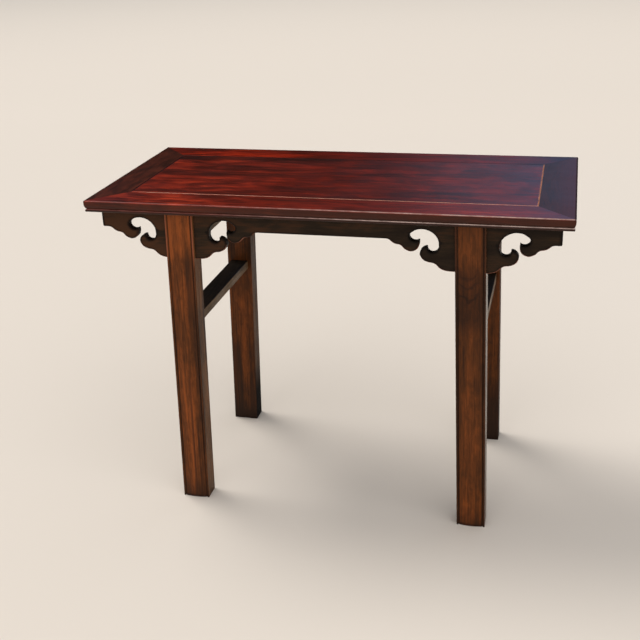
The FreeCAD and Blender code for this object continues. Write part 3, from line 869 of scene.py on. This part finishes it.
# Stretchers and battens: dull brown wood with the grain along them
plainLook = {
    "grain": {
        "broad": (0.25, 0.022),
        "streak": (0.09, 0.0055),
        "hair": (0.03, 0.0011),
        "weights": (0.45, 0.35, 0.20),
        "wave": 0.3,
    },
    "wander": 0.006,
    "patch": {"size": 0.08, "shift": 2.2},
    "stretcher": [(0.2, paint(68, 51, 32)), (0.5, paint(92, 70, 46)), (0.8, paint(114, 88, 60))],
    "batten": [(0.2, paint(58, 40, 27)), (0.5, paint(84, 60, 40)), (0.8, paint(112, 82, 56))],
    # Painted shade, dark and rougher, on the faces that look up
    "paintedShade": {"facing": (0.6, 0.9), "share": 0.85, "rougher": 0.35, "colour": paint(18, 13, 9)},
    "roughness": (0.40, 0.58),
    "relief": (0.4, 0.6),
    "reliefDepth": 0.0003,
    "specular": 0.12,
    "easing": 0.0010,
}


# Plain wood in the named tones, with dull dark painted shade on the faces that look up
def plainWood(node, tones, shift):
    material, tree = newFinish(node + "_finish")
    at = surfaceOf(tree)
    look, paintedShade = plainLook, plainLook["paintedShade"]
    tone, streak, hair = woodTone(tree, at["place"], "Y", shift, look)
    upShade = times(tree, fade(tree, at["faceZ"], *paintedShade["facing"]), paintedShade["share"])
    colour = mixColours(tree, upShade, ramp(tree, tone, look[tones]), paintedShade["colour"])
    patch = clouds(tree, at["place"], look["patch"], shift)
    roughness = patchyRoughness(tree, patch, look["roughness"])
    roughness = plus(tree, roughness, times(tree, upShade, paintedShade["rougher"]))
    closeFinish(tree, colour, roughness, streak, hair, look, look["specular"])
    dress(node, material, look["easing"])


# Each piece's tones and its part of the noise
plainPieces = {
    "upper_stretcher_right": ("stretcher", 5.0),
    "upper_stretcher_left": ("stretcher", 14.0),
    "lower_stretcher_right": ("stretcher", 23.0),
    "lower_stretcher_left": ("stretcher", 32.0),
    "batten_1": ("batten", 57.0),
    "batten_2": ("batten", 64.0),
    "batten_3": ("batten", 71.0),
}
for node, (tones, shift) in plainPieces.items():
    plainWood(node, tones, shift)
print("oiled the stretchers and battens")


# A wide pale floor, greyer far away so that it meets the room without a line
floorLook = {
    "size": 80.0,
    "colour": paint(222, 215, 207),
    "far": paint(182, 179, 174),
    "fades": (7.0, 24.0),
    "roughness": 0.75,
    "specular": 0.2,
}


# One square face at level 0, with its material's colour faded by the distance from the middle
def layFloor(look):
    half = look["size"] / 2
    mesh = bpy.data.meshes.new("floor")
    corners = [(-half, -half, 0), (half, -half, 0), (half, half, 0), (-half, half, 0)]
    mesh.from_pydata(corners, [], [(0, 1, 2, 3)])
    floor = bpy.data.objects.new("floor", mesh)
    bpy.context.scene.collection.objects.link(floor)
    material, tree = newFinish("floor_finish")
    place = addNode(tree, "TexCoord").outputs["Object"]
    distance = addNode(tree, "VectorMath", {0: place}, operation="LENGTH").outputs["Value"]
    colour = mixColours(tree, fade(tree, distance, *look["fades"]), look["colour"], look["far"])
    inputs = {
        "Base Color": colour,
        "Roughness": look["roughness"],
        "Specular IOR Level": look["specular"],
    }
    shader = addNode(tree, "BsdfPrincipled", inputs)
    tree.links.new(shader.outputs[0], addNode(tree, "OutputMaterial").inputs[0])
    mesh.materials.append(material)


layFloor(floorLook)
print("laid the floor")

# Soft studio light: a pale room, a broad key from the left, a broader fill from in front
lightLook = {
    "room": (1.0, 0.97, 0.94, 1.0),
    "roomStrength": 0.52,
    "key": {"from": (-1.0, 0.45, 1.75), "spread": 0.50, "strength": 1.5, "colour": (1.0, 0.95, 0.88)},
    "fill": {"from": (0.45, -1.0, 0.75), "spread": 1.60, "strength": 1.2, "colour": (1.0, 0.97, 0.94)},
}


# A sun that shines from the given direction to the table's origin
def hangLight(name, look):
    data = bpy.data.lights.new(name, "SUN")
    data.energy = look["strength"]
    data.angle = look["spread"]
    data.color = look["colour"]
    light = bpy.data.objects.new(name, data)
    light.rotation_euler = Vector(look["from"]).to_track_quat("Z", "Y").to_euler()
    bpy.context.scene.collection.objects.link(light)


hangLight("key", lightLook["key"])
hangLight("fill", lightLook["fill"])
world = bpy.data.worlds.new("room")
world.use_nodes = True
backdrop = world.node_tree.nodes["Background"]
backdrop.inputs["Color"].default_value = lightLook["room"]
backdrop.inputs["Strength"].default_value = lightLook["roomStrength"]
bpy.context.scene.world = world
bpy.context.scene.view_settings.view_transform = "Standard"

# A graded card far behind the table, which only its gloss sees: black, and blue-grey at
# the right, so that the lacquer stays deep at the left and hazes over at the right
cardLook = {
    "behind": 4.5,
    "reach": (-9.0, 8.0),
    "heights": (0.85, 8.0),
    "dimmer": {"levels": (1.8, 2.3), "least": 0.55, "most": 1.15},
    "grades": [
        (-3.4, (0.060, 0.070, 0.110, 1.0)),
        (-2.5, (0.010, 0.008, 0.008, 1.0)),
        (-0.9, (0.010, 0.010, 0.010, 1.0)),
        (-0.55, (0.040, 0.085, 0.120, 1.0)),
        (-0.22, (0.110, 0.260, 0.390, 1.0)),
        (0.05, (0.140, 0.370, 0.600, 1.0)),
        (0.7, (0.160, 0.480, 0.900, 1.0)),
    ],
}


# One upright face that glows: its colour is graded along X and its strength by the level
def hangCard(look):
    (left, right), y, (low, top) = look["reach"], look["behind"], look["heights"]
    mesh = bpy.data.meshes.new("card")
    corners = [(left, y, low), (right, y, low), (right, y, top), (left, y, top)]
    mesh.from_pydata(corners, [], [(0, 1, 2, 3)])
    card = bpy.data.objects.new("card", mesh)
    bpy.context.scene.collection.objects.link(card)
    material, tree = newFinish("card_grade")
    place = addNode(tree, "TexCoord").outputs["Object"]
    apart = addNode(tree, "SeparateXYZ", {"Vector": place}).outputs
    dimmer = look["dimmer"]
    strength = grade(tree, apart["Z"], *dimmer["levels"], dimmer["least"], dimmer["most"])
    grades = [((x - left) / (right - left), colour) for x, colour in look["grades"]]
    colour = ramp(tree, grade(tree, apart["X"], left, right, 0.0, 1.0), grades)
    glow = addNode(tree, "Emission", {"Color": colour, "Strength": strength})
    tree.links.new(glow.outputs[0], addNode(tree, "OutputMaterial").inputs[0])
    mesh.materials.append(material)
    card.visible_camera = card.visible_diffuse = False
    card.visible_transmission = card.visible_shadow = False


hangCard(cardLook)
print("set the light")

# The camera stands where the photograph was taken from
cameraLook = {
    "at": (0.5417, -2.3721, 1.4724),
    "turn": 0.252,
    "tilt": -0.4028,
    "roll": -0.0365,
    "lens": 56.36,
    "sensor": 36.0,
}


# A new camera looks straight down. It is rolled about its line of sight, tilted up to level
# plus the tilt, and turned about the upright axis.
def placeCamera(look):
    data = bpy.data.cameras.new("camera")
    data.lens = look["lens"]
    data.sensor_width = look["sensor"]
    camera = bpy.data.objects.new("camera", data)
    bpy.context.scene.collection.objects.link(camera)
    roll = Matrix.Rotation(look["roll"], 4, "Z")
    tilt = Matrix.Rotation(math.pi / 2 + look["tilt"], 4, "X")
    turn = Matrix.Rotation(look["turn"], 4, "Z")
    camera.matrix_world = Matrix.Translation(look["at"]) @ turn @ tilt @ roll
    bpy.context.scene.camera = camera


placeCamera(cameraLook)

print("placed the camera")
